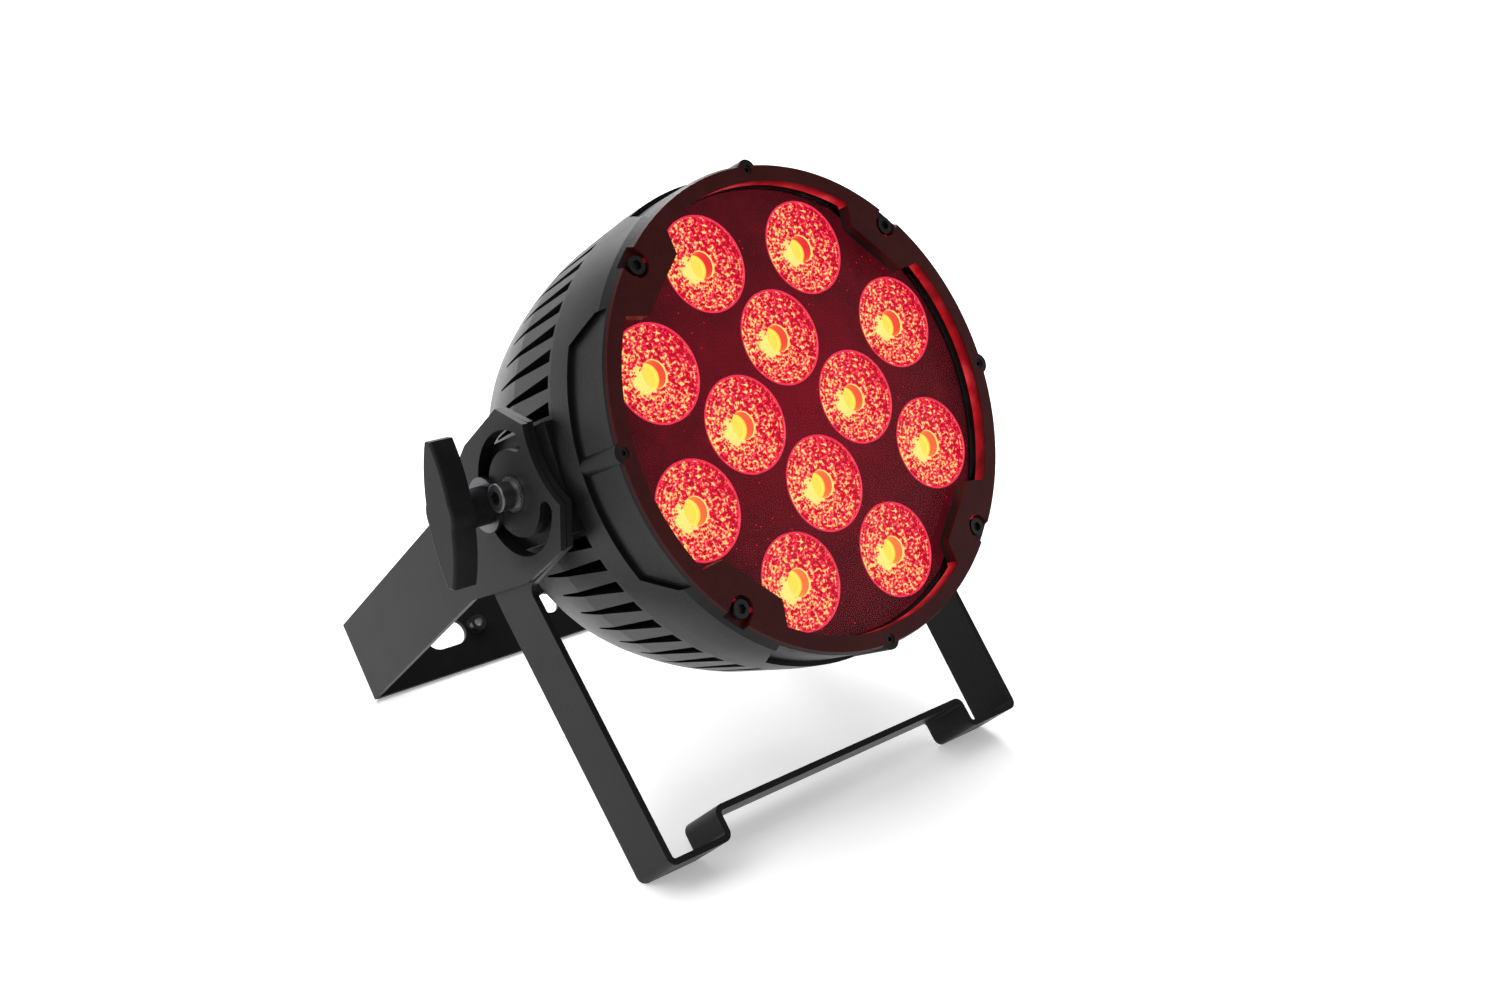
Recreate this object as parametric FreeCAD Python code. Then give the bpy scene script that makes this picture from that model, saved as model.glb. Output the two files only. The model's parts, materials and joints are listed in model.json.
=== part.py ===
import FreeCAD, Part
import math
import os

# A twelve-lens LED par can on a double bracket.
# Frame: X to the right, the light shines towards -Y, +Z up, floor at Z = 0. Millimetres.
# The origin is on the floor, under the middle of the object's box.
# Head pieces are drawn about the optical axis (x right, y up, z forward, origin on the tilt
# axis). Bracket pieces are drawn with their arm hanging along -z. Both are then turned
# about the tilt axis into place.

V = FreeCAD.Vector

# ---- Pose at rest ----
tilt_deg = 29.2            # optical axis above the horizontal
front_leg_deg = 45.5       # front leg, from straight down towards the front

# ---- Brackets ----
arm_len = 213.5            # tilt axis to the outer face of the rear crossbar
arm_w = 44.5               # width of the rear arm and crossbar
sheet_t = 3.0              # steel sheet
plate_gap = 0.3            # pad to plate and plate to plate
bend_r = 4.5               # outside radius of the sheet's bends
hub_half_w = 35.6          # half width of the hub plate
hub_back = 28.8            # hub plate corners behind the tilt axis
hub_nose_half_w = 20.0     # half width between those corners
hub_shoulder = 14.5        # where the slanted corner meets the side, behind the axis
hub_side_end = 21.0        # where the side starts to taper to the arm
hub_taper_end = 72.0       # where the taper meets the arm
scallop_depth = 4.8        # hollow in the hub's end edge
slot_pitch_r = 24.4        # C slot centre line about the tilt axis
slot_half_deg = 135.0      # C slot half angle about the arm
leg_len = 175.6            # tilt axis to the outer face of the front foot
leg_w = 29.6               # width of the front leg
leg_offset = 42.7          # leg centre line from the tilt axis
leg_lean = 4.2             # each leg leans in by this much on its way to the foot
foot_len = 36.4            # foot length from the leg's outer face
foot_step = 13.7           # rise of the middle bar above the feet
foot_corner_r = 4.5        # outside radius of the foot's bends
clamp_hole_r = 6.5         # clamp bolt hole in the crossbar
side_hole_x = 70.0         # oblong holes in the crossbar
side_hole_r = 7.5
side_hole_span = 10.0      # centre to centre of the oblong hole's ends
insert_x = 51.0            # M6 rivet nuts in the crossbar
insert_flange_r = 5.0
insert_r = 4.0
insert_bore_r = 2.5
insert_len = 9.0

# ---- Tilt hardware ----
stud_r = 4.0               # M8 studs and shoulders
slot_clear = 0.4           # stud to C slot
run_clear = 0.05           # stud or shoulder to its hole
stud_depth = 16.0          # stud and screw depth in the pad
knob_washer_r = 13.0
knob_washer_t = 2.0
washer_gap = 0.2           # washer to plate
stem_r = 9.0               # knob stem
grip_in = 14.0             # grip faces, from the outer plate
grip_out = 26.0
grip_len = 68.0
grip_w = 21.0
grip_turn_deg = 15.1       # grip's long axis forward of the head's up direction
grip_tip_w = 5.0           # width of the grip's blunt tips
grip_hub_proud = 1.2       # round hub beyond the grip's sides
grip_round = 1.5
pivot_washer_r = 8.0
pivot_washer_t = 1.6
pivot_head_r = 6.5
pivot_head_h = 8.0
pivot_socket_r = 3.4

# ---- Head, along the optical axis ----
front_z = 72.0             # front rim
bezel_z = 65.4             # back of the bezel, front of the glass
chamfer_z = 65.8           # where the rim starts to lean in
parting_z = 30.0           # front housing meets the finned housing
lean_z = -8.0              # finned housing starts to curve in
bowl_z = -50.0             # bowl starts to close
back_z = -78.0             # rear face

# ---- Head, radii ----
rim_r = 114.2              # rim at the front face
belly_r = 117.5            # widest ring
joint_r = 117.1            # at the parting line
lean_r = 114.0
bowl_r = 104.0
back_r = 76.0
cavity_r = 97.5            # inside of the finned housing
pocket_r = 103.0           # floor of the pockets between fins
band_in_r = 111.0          # inside of the front housing
lip_r = 107.0              # inside of the bezel
lean_sag = 1.0             # how far the curved stretch stands proud of its chord
bowl_sag = 4.6
inner_sag = 3.0

# ---- Fins and pads ----
fin_count = 60
pocket_front_z = 28.0
pocket_w = 6.2             # pocket width at its front end
pocket_tip_z = -22.0       # tip of the shortest pocket
pocket_tip_extra = 10.0    # pockets next to the pads reach this much further back
pad_face = 118.5           # pad face, from the middle plane
pad_half_h = 25.0
pad_back_z = -38.0
pad_corner_r = 18.0

# ---- Front housing and bezel ----
flange_t = 4.0             # inner flange at the parting line
flange_in_r = 96.5
seat_z = 61.2              # shelf that the glass seal lies on
seat_t = 5.2
seal_t = 0.8
zone_r = 115.3             # outside of the thin zones between the blocks
zone_back_z = 45.0
zone_step_z = 63.0
zone_back_half = 52.7      # half width of a thin zone at its back edge
zone_front_half = 61.5     # and at the rim
block_in = 94.4            # inner edge of a block, from the optical axis
block_in_half = 17.4
block_out = 103.9
block_out_half = 24.7
bezel_screw_pitch_r = 109.0
bezel_screw_r = 2.5
bezel_head_r = 4.25
bezel_head_h = 3.0
bezel_pocket_half = 6.0
bezel_pocket_deep = 3.5
bezel_boss_r = 5.0
rim_screw_pitch_r = 112.5
rim_boss_r = 5.0
rim_screw_r = 1.25
rim_head_r = 2.5
rim_head_h = 2.0
rim_head_deep = 2.6
seal_groove_r = 106.0      # seal between the two housings
seal_groove_w = 2.0
seal_groove_deep = 1.6
housing_screw_pitch_r = 100.25
housing_screw_r = 1.5
housing_head_r = 2.75
housing_screw_len = 14.0

# ---- Optics ----
lens_r = 23.0
outer_pitch_r = 81.4
inner_pitch_r = 35.4
outer_count = 8
inner_count = 4
mask_z = 60.4              # front of the mask
mask_t = 2.0
mask_gap = 0.3             # mask to shelf
lens_gap = 0.2
flat_gap = 0.4             # glass and mask flats to the screw bosses
lens_back_z = 36.0
lens_back_r = 9.0
lens_edge_t = 2.8
lens_rim_w = 1.5           # rim beyond the cone
lens_rim_slope = 0.6
lens_bore_r = 6.5
lens_bore_deep = 10.0
lens_dome_h = 2.6
lens_well_r = 5.5
lens_well_deep = 4.0
lens_well_dome_h = 1.5
holder_wall = 1.4
holder_gap = 0.3
holder_foot_r = 12.0
holder_foot_in_r = 7.5
mask_screw_pitch_r = 91.5
mask_screw_r = 1.5
mask_head_r = 2.8
mask_head_h = 1.3
standoff_r = 3.5
led_board_r = 87.5
led_board_t = 1.6
led_w = 7.0
led_h = 1.0
led_dome_r = 2.8
spreader_t = 5.0
spreader_gap = 0.3
spreader_boss_r = 5.0
spreader_boss_pitch_r = 93.0
spreader_boss_len = 14.0
spreader_screw_r = 2.0
spreader_head_r = 3.5
spreader_head_h = 1.8
spreader_screw_len = 14.0
spreader_screws = 6

# ---- Electronics ----
psu_w = 116.0
psu_h = 70.0
psu_t = 34.0
psu_standoff_len = 5.0
board_w = 122.0
board_h = 100.0
board_t = 1.6
board_front_z = -22.4
board_inset = 6.0          # standoffs from the board's edges
board_standoff_r = 3.0

# ---- Rear panel ----
cover_r = 70.0
cover_t = 3.0
cover_gap = 0.4
cover_seal_t = 1.0
rear_wall_t = 5.0
rear_opening_r = 62.0
cover_screw_pitch_r = 66.3
cover_screws = 6
cover_screw_r = 2.0
cover_head_r = 3.4
cover_head_h = 2.2
cover_screw_len = 9.0
cover_seal_w = 1.8
window_w = 44.0
window_h = 20.0
window_y = 38.0
window_t = 2.0
window_gap = 0.1
panel_board_w = 72.0
panel_board_h = 50.0
panel_board_y = 29.0
panel_board_z = -66.0
button_y = 14.0
button_pitch = 18.0
button_r = 4.7
button_gap = 0.3
button_proud = 2.0
button_flange_r = 6.2
button_flange_t = 1.2
button_stem_r = 1.8
button_travel = 1.0
switch_w = 6.0
switch_h = 3.4
socket_y = -20.0
socket_pitch = 30.0
socket_flange_w = 26.0
socket_flange_h = 31.0
socket_flange_t = 2.0
socket_flange_corner = 4.0
socket_body_r = 12.0
socket_body_len = 20.0
socket_hole_gap = 0.3
power_bore_r = 10.0
data_bore_r = 8.2
socket_bore_deep = 12.0
socket_floor_r = 6.0       # narrower floor where the contacts stand
socket_floor_deep = 4.0
contact_r = 1.2
contact_h = 3.0
contact_pitch_r = 4.0
socket_screw_x = 9.6
socket_screw_y = 12.2
socket_screw_r = 1.5
socket_head_r = 2.6
socket_head_h = 1.6
vent_y = -50.0
vent_r = 7.0
vent_h = 3.0
vent_stem_r = 5.0

# ---- Dependent sizes ----
inner_plate_in = pad_face + plate_gap
inner_plate_out = inner_plate_in + sheet_t
outer_plate_in = inner_plate_out + plate_gap
outer_plate_out = outer_plate_in + sheet_t
slot_half_w = stud_r + slot_clear
# The rear arm's angle that sets its lower corner and the front foot on one floor.
hub_deg = 90.0 - front_leg_deg
foot_back = leg_offset + leg_w / 2
pivot_h = (leg_len * math.cos(math.radians(front_leg_deg))
           + foot_back * math.sin(math.radians(front_leg_deg)))
arm_reach = math.hypot(arm_len, arm_w / 2)
arm_deg = (math.degrees(math.acos(pivot_h / arm_reach))
           + math.degrees(math.atan2(arm_w / 2, arm_len)))
# The box runs from the rim's lowest point to the rear crossbar's upper corner.
rim_reach = rim_screw_pitch_r + rim_boss_r
front_reach = (front_z * math.cos(math.radians(tilt_deg))
               + rim_reach * math.sin(math.radians(tilt_deg)))
foot_front = (leg_len * math.sin(math.radians(front_leg_deg))
              - (leg_offset - leg_w / 2) * math.cos(math.radians(front_leg_deg)))
rear_reach = (arm_len * math.sin(math.radians(arm_deg))
              + arm_w / 2 * math.cos(math.radians(arm_deg)))
pivot_y = (max(front_reach, foot_front) - rear_reach) / 2
spreader_z = parting_z - spreader_t
led_board_z = parting_z + led_board_t
glass_back_z = seat_z + seal_t
mask_back_z = mask_z - mask_t
flat_at = bezel_screw_pitch_r - bezel_boss_r - flat_gap
glass_r = band_in_r - 0.8
glass_seal_in_r = lip_r + 0.3
cover_seat_z = back_z + cover_t + cover_seal_t
socket_xs = [(i - 1.5) * socket_pitch for i in range(4)]
button_xs = [(i - 1.5) * button_pitch for i in range(4)]
diagonals = [45.0, 135.0, 225.0, 315.0]
quarters = [0.0, 90.0, 180.0, 270.0]

pivot = V(0, pivot_y, pivot_h)
head_place = FreeCAD.Placement(pivot, FreeCAD.Rotation(V(1, 0, 0), 90.0 - tilt_deg))
rear_place = FreeCAD.Placement(pivot, FreeCAD.Rotation(V(1, 0, 0), arm_deg))
front_place = FreeCAD.Placement(pivot, FreeCAD.Rotation(V(1, 0, 0), hub_deg))


# ---- Helpers ----
def save(name, shapes, place):
    """Write one node, with every solid turned into its place on the object."""
    solids = []
    for shape in shapes if isinstance(shapes, list) else [shapes]:
        for solid in shape.Solids:
            moved = solid.copy()
            moved.Placement = place.multiply(moved.Placement)
            solids.append(moved)
    node = solids[0] if len(solids) == 1 else Part.makeCompound(solids)
    if not all(s.isValid() and s.isClosed() for s in solids):
        print("NOT VALID:", name)
    node.exportStep("parts/" + name + ".step")


def rod(r, z0, z1, x=0.0, y=0.0):
    return Part.makeCylinder(r, z1 - z0, V(x, y, z0))


def tube(r_out, r_in, z0, z1, x=0.0, y=0.0):
    return rod(r_out, z0, z1, x, y).cut(rod(r_in, z0 - 1, z1 + 1, x, y))


def cross_rod(r, x0, x1, y=0.0, z=0.0):
    """A cylinder along X."""
    return Part.makeCylinder(r, x1 - x0, V(x0, y, z), V(1, 0, 0))


def block(w, h, z0, z1, x=0.0, y=0.0):
    return Part.makeBox(w, h, z1 - z0, V(x - w / 2, y - h / 2, z0))


def polar(r, deg):
    return r * math.cos(math.radians(deg)), r * math.sin(math.radians(deg))


def line(a, b):
    return Part.LineSegment(a, b).toShape()


def arc(a, mid, b):
    return Part.Arc(a, mid, b).toShape()


def bulge(a, b, sag):
    """Arc from a to b whose middle stands sag away from the chord, to the left of it."""
    along = (b - a).normalize()
    side = V(-along.z, 0, along.x)
    return arc(a, (a + b) * 0.5 + side * sag, b)


def turned(edges):
    """Solid of revolution about the optical axis, from edges in the plane y = 0."""
    face = Part.Face(Part.Wire(edges))
    return Part.makeSolid(face.revolve(V(0, 0, 0), V(0, 0, 1), 360))


def turned_points(points):
    corners = [V(r, 0, z) for r, z in points]
    return turned([line(a, b) for a, b in zip(corners, corners[1:] + corners[:1])])


def prism(points, z0, z1):
    """Polygon of x, y points, extruded along z."""
    ring = Part.makePolygon([V(x, y, z0) for x, y in points + points[:1]])
    return Part.Face(ring).extrude(V(0, 0, z1 - z0))


def side_prism(points, x0, x1):
    """Polygon of y, z points, extruded along x."""
    ring = Part.makePolygon([V(x0, y, z) for y, z in points + points[:1]])
    return Part.Face(ring).extrude(V(x1 - x0, 0, 0))


def spun(shape, deg):
    """Copy turned about the optical axis."""
    copy = shape.copy()
    copy.rotate(V(0, 0, 0), V(0, 0, 1), deg)
    return copy


def moved(shape, x, y, z=0.0):
    copy = shape.copy()
    copy.translate(V(x, y, z))
    return copy


def mirrored(shape):
    return shape.mirror(V(0, 0, 0), V(1, 0, 0))


def rounded(shape, r, keep):
    """Fillet the edges whose middle satisfies keep."""
    edges = [e for e in shape.Edges if keep(e)]
    return shape.makeFillet(r, edges)


def middle(edge):
    return edge.valueAt((edge.FirstParameter + edge.LastParameter) / 2)


def along(edge, axis):
    step = edge.valueAt(edge.LastParameter) - edge.valueAt(edge.FirstParameter)
    return step.Length > 0 and abs(step.normalize().dot(axis)) > 0.999


def flatted(r, z0, z1):
    """Disc with a flat at each diagonal, where a bezel screw's boss stands."""
    disc = rod(r, z0, z1)
    for deg in diagonals:
        cutter = Part.makeBox(50, 4 * r, z1 - z0 + 2, V(flat_at, -2 * r, z0 - 1))
        disc = disc.cut(spun(cutter, deg))
    return disc


def socket_screw(head_r, head_h, shank_r, seat, tip, x, y, hex_r):
    """Screw along z with its head in front of seat and a hexagon socket in the head."""
    screw = rod(head_r, seat, seat + head_h, x, y).fuse(rod(shank_r, tip, seat, x, y))
    corners = [polar(hex_r, 60 * i) for i in range(6)]
    hexagon = prism([(x + dx, y + dy) for dx, dy in corners],
                    seat + head_h * 0.4, seat + head_h + 1)
    return screw.cut(hexagon)


def back_screw(head_r, head_h, shank_r, seat, tip, x, y):
    """Screw with its head behind seat and a cross slot in the head."""
    head = rod(head_r, seat - head_h, seat, x, y)
    slot = block(head_r * 1.1, 0.8, seat - head_h - 1, seat - head_h / 2, x, y)
    head = head.cut(slot).cut(block(0.8, head_r * 1.1, seat - head_h - 1, seat - head_h / 2, x, y))
    return head.fuse(rod(shank_r, seat, tip, x, y))


# ---- Brackets ----
def hub_outline(end):
    """Edges of the hub plate in y, z, from the left side's end round the scallop and back."""
    pts = [V(0, -hub_half_w, -hub_side_end), V(0, -hub_half_w, hub_shoulder),
           V(0, -hub_nose_half_w, hub_back), V(0, hub_nose_half_w, hub_back),
           V(0, hub_half_w, hub_shoulder), V(0, hub_half_w, -hub_side_end)]
    dip = V(0, 0, hub_back - scallop_depth)
    return [line(end[0], pts[0]), line(pts[0], pts[1]), line(pts[1], pts[2]),
            arc(pts[2], dip, pts[3]), line(pts[3], pts[4]), line(pts[4], pts[5]),
            line(pts[5], end[1])]


def c_slot(x0, x1):
    """Cutter for the C slot, open round the arm side, with round ends."""
    def spot(r, deg):
        dy, dz = polar(r, -90 + deg)
        return V(x0, dy, dz)
    outer = slot_pitch_r + slot_half_w
    inner = slot_pitch_r - slot_half_w
    end = slot_half_deg
    past = end + math.degrees(slot_half_w / slot_pitch_r)
    edges = [arc(spot(outer, -end), spot(outer, 0), spot(outer, end)),
             arc(spot(outer, end), spot(slot_pitch_r, past), spot(inner, end)),
             arc(spot(inner, end), spot(inner, 0), spot(inner, -end)),
             arc(spot(inner, -end), spot(slot_pitch_r, -past), spot(outer, -end))]
    return Part.Face(Part.Wire(edges)).extrude(V(x1 - x0, 0, 0))


def rear_bracket():
    taper = V(0, -arm_w / 2, -hub_taper_end)
    end = [taper, V(0, arm_w / 2, -hub_taper_end)]
    foot = [V(0, arm_w / 2, -arm_len), V(0, -arm_w / 2, -arm_len)]
    edges = hub_outline(end) + [line(end[1], foot[0]), line(foot[0], foot[1]), line(foot[1], end[0])]
    plate = Part.Face(Part.Wire(edges)).extrude(V(sheet_t, 0, 0))
    left = moved(plate, -outer_plate_out, 0)
    right = moved(plate, outer_plate_in, 0)
    bar = block(2 * outer_plate_out, arm_w, -arm_len, -arm_len + sheet_t)
    body = left.fuse([right, bar]).removeSplitter()
    body = rounded(body, bend_r, lambda e: along(e, V(0, 1, 0))
                   and abs(middle(e).z + arm_len) < 0.01)
    body = rounded(body, bend_r - sheet_t, lambda e: along(e, V(0, 1, 0))
                   and abs(abs(middle(e).x) - outer_plate_in) < 0.01
                   and abs(middle(e).z + arm_len - sheet_t) < 0.01)
    for x0 in (-outer_plate_out - 1, outer_plate_in - 1):
        body = body.cut(c_slot(x0, x0 + sheet_t + 2))
        body = body.cut(cross_rod(stud_r + run_clear, x0, x0 + sheet_t + 2))
    low = -arm_len - 1
    high = -arm_len + sheet_t + 1
    body = body.cut(rod(clamp_hole_r, low, high))
    for side in (-1, 1):
        oblong = block(side_hole_span, 2 * side_hole_r, low, high, side * side_hole_x)
        for end_side in (-1, 1):
            centre = side * side_hole_x + end_side * side_hole_span / 2
            oblong = oblong.fuse(rod(side_hole_r, low, high, centre))
        body = body.cut(oblong)
        body = body.cut(rod(insert_r, low, high, side * insert_x))
    return body


def crossbar_inserts():
    top = -arm_len + sheet_t
    inserts = []
    for side in (-1, 1):
        x = side * insert_x
        nut = rod(insert_flange_r, top, top + 1.0, x).fuse(rod(insert_r, -arm_len, top, x))
        nut = nut.fuse(rod(insert_r + 0.6, top + 1.0, -arm_len + insert_len, x))
        inserts.append(nut.cut(rod(insert_bore_r, -arm_len - 1, -arm_len + insert_len + 1, x)))
    return inserts


def front_bracket():
    near = leg_offset - leg_w / 2
    far = leg_offset + leg_w / 2
    slope = (hub_half_w - arm_w / 2) / (hub_taper_end - hub_side_end)
    cut_y = hub_half_w - slope * (far - hub_side_end)
    end = [V(0, -hub_half_w, -near), V(0, cut_y, -far)]
    corner = V(0, -hub_half_w, -far)
    edges = hub_outline(end) + [line(end[1], corner), line(corner, end[0])]
    plate = Part.Face(Part.Wire(edges)).extrude(V(sheet_t, 0, 0))
    left = moved(plate, -inner_plate_out, 0)
    right = moved(plate, inner_plate_in, 0)
    # The legs, feet and middle bar are one strip, drawn from its edge.
    toe_out = inner_plate_out - leg_lean
    toe_in = toe_out - sheet_t
    step_x = toe_out - foot_len
    wall_x = step_x + sheet_t
    floor_y = -leg_len
    bar_y = floor_y + foot_step
    half_strip = [(step_x, bar_y), (step_x, floor_y), (toe_out, floor_y),
                  (inner_plate_out, -hub_half_w), (inner_plate_in, -hub_half_w),
                  (toe_in, floor_y + sheet_t), (wall_x, floor_y + sheet_t),
                  (wall_x, bar_y + sheet_t)]
    other_half = [(-x, y) for x, y in reversed(half_strip)]
    bar = prism(half_strip + other_half, -far, -near)
    body = left.fuse([right, bar]).removeSplitter()
    outside = [(toe_out, floor_y), (wall_x, bar_y + sheet_t), (step_x, floor_y)]
    inside = [(toe_in, floor_y + sheet_t), (wall_x, floor_y + sheet_t), (step_x, bar_y)]
    for group, r in ((outside, foot_corner_r), (inside, foot_corner_r - sheet_t)):
        def chosen(e):
            m = middle(e)
            return along(e, V(0, 0, 1)) and any(
                abs(abs(m.x) - x) < 0.01 and abs(m.y - y) < 0.01 for x, y in group)
        body = rounded(body, r, chosen)
    body = rounded(body, foot_corner_r, lambda e: along(e, V(1, 0, 0))
                   and abs(middle(e).y + hub_half_w) < 0.01 and abs(middle(e).z + near) < 0.01)
    for x0 in (-inner_plate_out - 1, inner_plate_in - 1):
        body = body.cut(c_slot(x0, x0 + sheet_t + 2))
        body = body.cut(cross_rod(stud_r + run_clear, x0, x0 + sheet_t + 2))
    return body


# ---- Tilt hardware, drawn on the right side ----
def pivot_screw():
    seat = outer_plate_out + washer_gap + pivot_washer_t
    shank = cross_rod(stud_r, pad_face - stud_depth, seat)
    screw = shank.fuse(cross_rod(pivot_head_r, seat, seat + pivot_head_h))
    screw = rounded(screw, 0.8, lambda e: abs(e.BoundBox.XMin - seat - pivot_head_h) < 0.01)
    hexagon = side_prism([polar(pivot_socket_r, 60 * i) for i in range(6)],
                         seat + pivot_head_h / 2, seat + pivot_head_h + 1)
    return screw.cut(hexagon)


def pivot_washer():
    x0 = outer_plate_out + washer_gap
    washer = cross_rod(pivot_washer_r, x0, x0 + pivot_washer_t)
    return washer.cut(cross_rod(stud_r, x0 - 1, x0 + pivot_washer_t + 1))


def knob_washer():
    x0 = outer_plate_out + washer_gap
    washer = cross_rod(knob_washer_r, x0, x0 + knob_washer_t, 0, -slot_pitch_r)
    return washer.cut(cross_rod(stud_r, x0 - 1, x0 + knob_washer_t + 1, 0, -slot_pitch_r))


def knob_stud():
    return cross_rod(stud_r, pad_face - stud_depth, outer_plate_out + grip_in + 5, 0, -slot_pitch_r)


def knob_grip():
    """Wing grip: a long lemon-shaped block with a round hub, on a stem."""
    base = outer_plate_out + washer_gap + knob_washer_t
    face_in = outer_plate_out + grip_in
    face_out = outer_plate_out + grip_out
    tip = grip_len / 2
    half = grip_w / 2
    blunt = grip_tip_w
    upper = arc(V(face_in, tip, blunt / 2), V(face_in, 0, half), V(face_in, -tip, blunt / 2))
    lower = arc(V(face_in, -tip, -blunt / 2), V(face_in, 0, -half), V(face_in, tip, -blunt / 2))
    ends = [line(V(face_in, -tip, blunt / 2), V(face_in, -tip, -blunt / 2)),
            line(V(face_in, tip, -blunt / 2), V(face_in, tip, blunt / 2))]
    wing = Part.Face(Part.Wire([upper, ends[0], lower, ends[1]])).extrude(V(face_out - face_in, 0, 0))
    hub = cross_rod(half + grip_hub_proud, face_in, face_out)
    wing, hub = [rounded(piece, grip_round, lambda e: abs(e.BoundBox.XMin - face_out) < 0.01
                         and abs(e.BoundBox.XMax - face_out) < 0.01) for piece in (wing, hub)]
    wing = wing.fuse(hub)
    grip = wing.fuse(cross_rod(stem_r, base, face_in))
    grip = grip.cut(cross_rod(stud_r, base - 1, face_in + 5))
    grip.rotate(V(0, 0, 0), V(1, 0, 0), grip_turn_deg)
    return moved(grip, 0, 0, -slot_pitch_r)


# ---- Housings ----
def rear_housing():
    a = V(joint_r, 0, parting_z)
    b = V(lean_r, 0, lean_z)
    c = V(bowl_r, 0, bowl_z)
    d = V(back_r, 0, back_z)
    axis_back = V(0, 0, back_z)
    axis_front = V(0, 0, parting_z)
    body = turned([line(a, b), bulge(b, c, lean_sag), bulge(c, d, bowl_sag),
                   line(d, axis_back), line(axis_back, axis_front), line(axis_front, a)])
    pad_len = parting_z - pad_back_z
    pad = Part.makeBox(pad_face - cavity_r, 2 * pad_half_h, pad_len,
                       V(cavity_r, -pad_half_h, pad_back_z))
    pad = rounded(pad, pad_corner_r, lambda e: along(e, V(1, 0, 0))
                  and middle(e).z < pad_back_z + 1)
    # Pockets between the fins: wedges that narrow to the back.
    cutters = []
    pad_deg = math.degrees(math.asin(pad_half_h / joint_r))
    for i in range(fin_count):
        deg = (i + 0.5) * 360.0 / fin_count
        from_pad = min(abs(deg - side) for side in (0.0, 180.0, 360.0)) - pad_deg
        if from_pad < 0.6:
            continue
        tip_z = pocket_tip_z - pocket_tip_extra * max(0.0, 1 - from_pad / 40.0)
        wedge = [(-pocket_w / 2, pocket_front_z), (-0.5, tip_z),
                 (0.5, tip_z), (pocket_w / 2, pocket_front_z)]
        cutters.append(spun(side_prism(wedge, pocket_r, belly_r + 5), deg))
    body = body.cut(cutters)
    body = body.fuse([pad, spun(pad, 180)]).removeSplitter()
    shelf_z = cover_seat_z + rear_wall_t
    inner = [V(0, 0, parting_z + 1), V(cavity_r, 0, parting_z + 1), V(cavity_r, 0, bowl_z),
             V(back_r, 0, shelf_z), V(0, 0, shelf_z)]
    inside = turned([line(inner[0], inner[1]), line(inner[1], inner[2]),
                     bulge(inner[2], inner[3], inner_sag), line(inner[3], inner[4]),
                     line(inner[4], inner[0])])
    body = body.cut(inside)
    body = body.cut(rod(rear_opening_r, back_z - 1, cover_seat_z + rear_wall_t + 1))
    body = body.cut(rod(cover_r + cover_gap, back_z - 1, cover_seat_z))
    bosses = []
    for i in range(spreader_screws):
        x, y = polar(spreader_boss_pitch_r, i * 360.0 / spreader_screws)
        bosses.append(rod(spreader_boss_r, spreader_z - spreader_boss_len, spreader_z, x, y))
    body = body.fuse(bosses)
    holes = []
    for i in range(spreader_screws):
        x, y = polar(spreader_boss_pitch_r, i * 360.0 / spreader_screws)
        tip = parting_z - spreader_screw_len
        holes.append(rod(spreader_screw_r, tip, spreader_z + 1, x, y))
        x, y = polar(cover_screw_pitch_r, i * 360.0 / cover_screws)
        holes.append(rod(cover_screw_r, cover_seat_z - 1, back_z + cover_screw_len, x, y))
    for i in range(outer_count):
        x, y = polar(housing_screw_pitch_r, (i + 0.5) * 360.0 / outer_count)
        tip = parting_z + flange_t - housing_screw_len
        holes.append(rod(housing_screw_r, tip, parting_z + 1, x, y))
    for side in (-1, 1):
        inner = side * (pad_face - stud_depth)
        outer = side * (pad_face + 5)
        for z in (0.0, -slot_pitch_r):
            holes.append(cross_rod(stud_r + run_clear, min(inner, outer), max(inner, outer), 0, z))
    return body.cut(holes)


def band_outline():
    """Outer edges of the front band, from the parting line to the rim's front corner."""
    a = V(joint_r, 0, parting_z)
    b = V(belly_r, 0, (parting_z + chamfer_z) / 2)
    c = V(joint_r, 0, chamfer_z)
    d = V(rim_r, 0, front_z)
    return a, b, c, d


def thin_zones():
    """Cutters for the four shallow zones in the band's outside, between the blocks."""
    outline = [(-zone_front_half, front_z + 1), (-zone_front_half, zone_step_z),
               (-zone_back_half, zone_back_z), (zone_back_half, zone_back_z),
               (zone_front_half, zone_step_z), (zone_front_half, front_z + 1)]
    zone = side_prism(outline, 80, belly_r + 5).cut(rod(zone_r, 0, front_z + 2))
    return [spun(zone, deg) for deg in quarters]


def front_band():
    """The whole band as one solid, before it is split into front housing and bezel."""
    a, b, c, d = band_outline()
    axis_front = V(0, 0, front_z)
    axis_back = V(0, 0, parting_z)
    band = turned([arc(a, b, c), line(c, d), line(d, axis_front),
                   line(axis_front, axis_back), line(axis_back, a)])
    band = band.cut(thin_zones())
    bosses = []
    for deg in quarters:
        x, y = polar(rim_screw_pitch_r, deg)
        bosses.append(rod(rim_boss_r, zone_back_z, front_z, x, y))
    return band.fuse(bosses)


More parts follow.
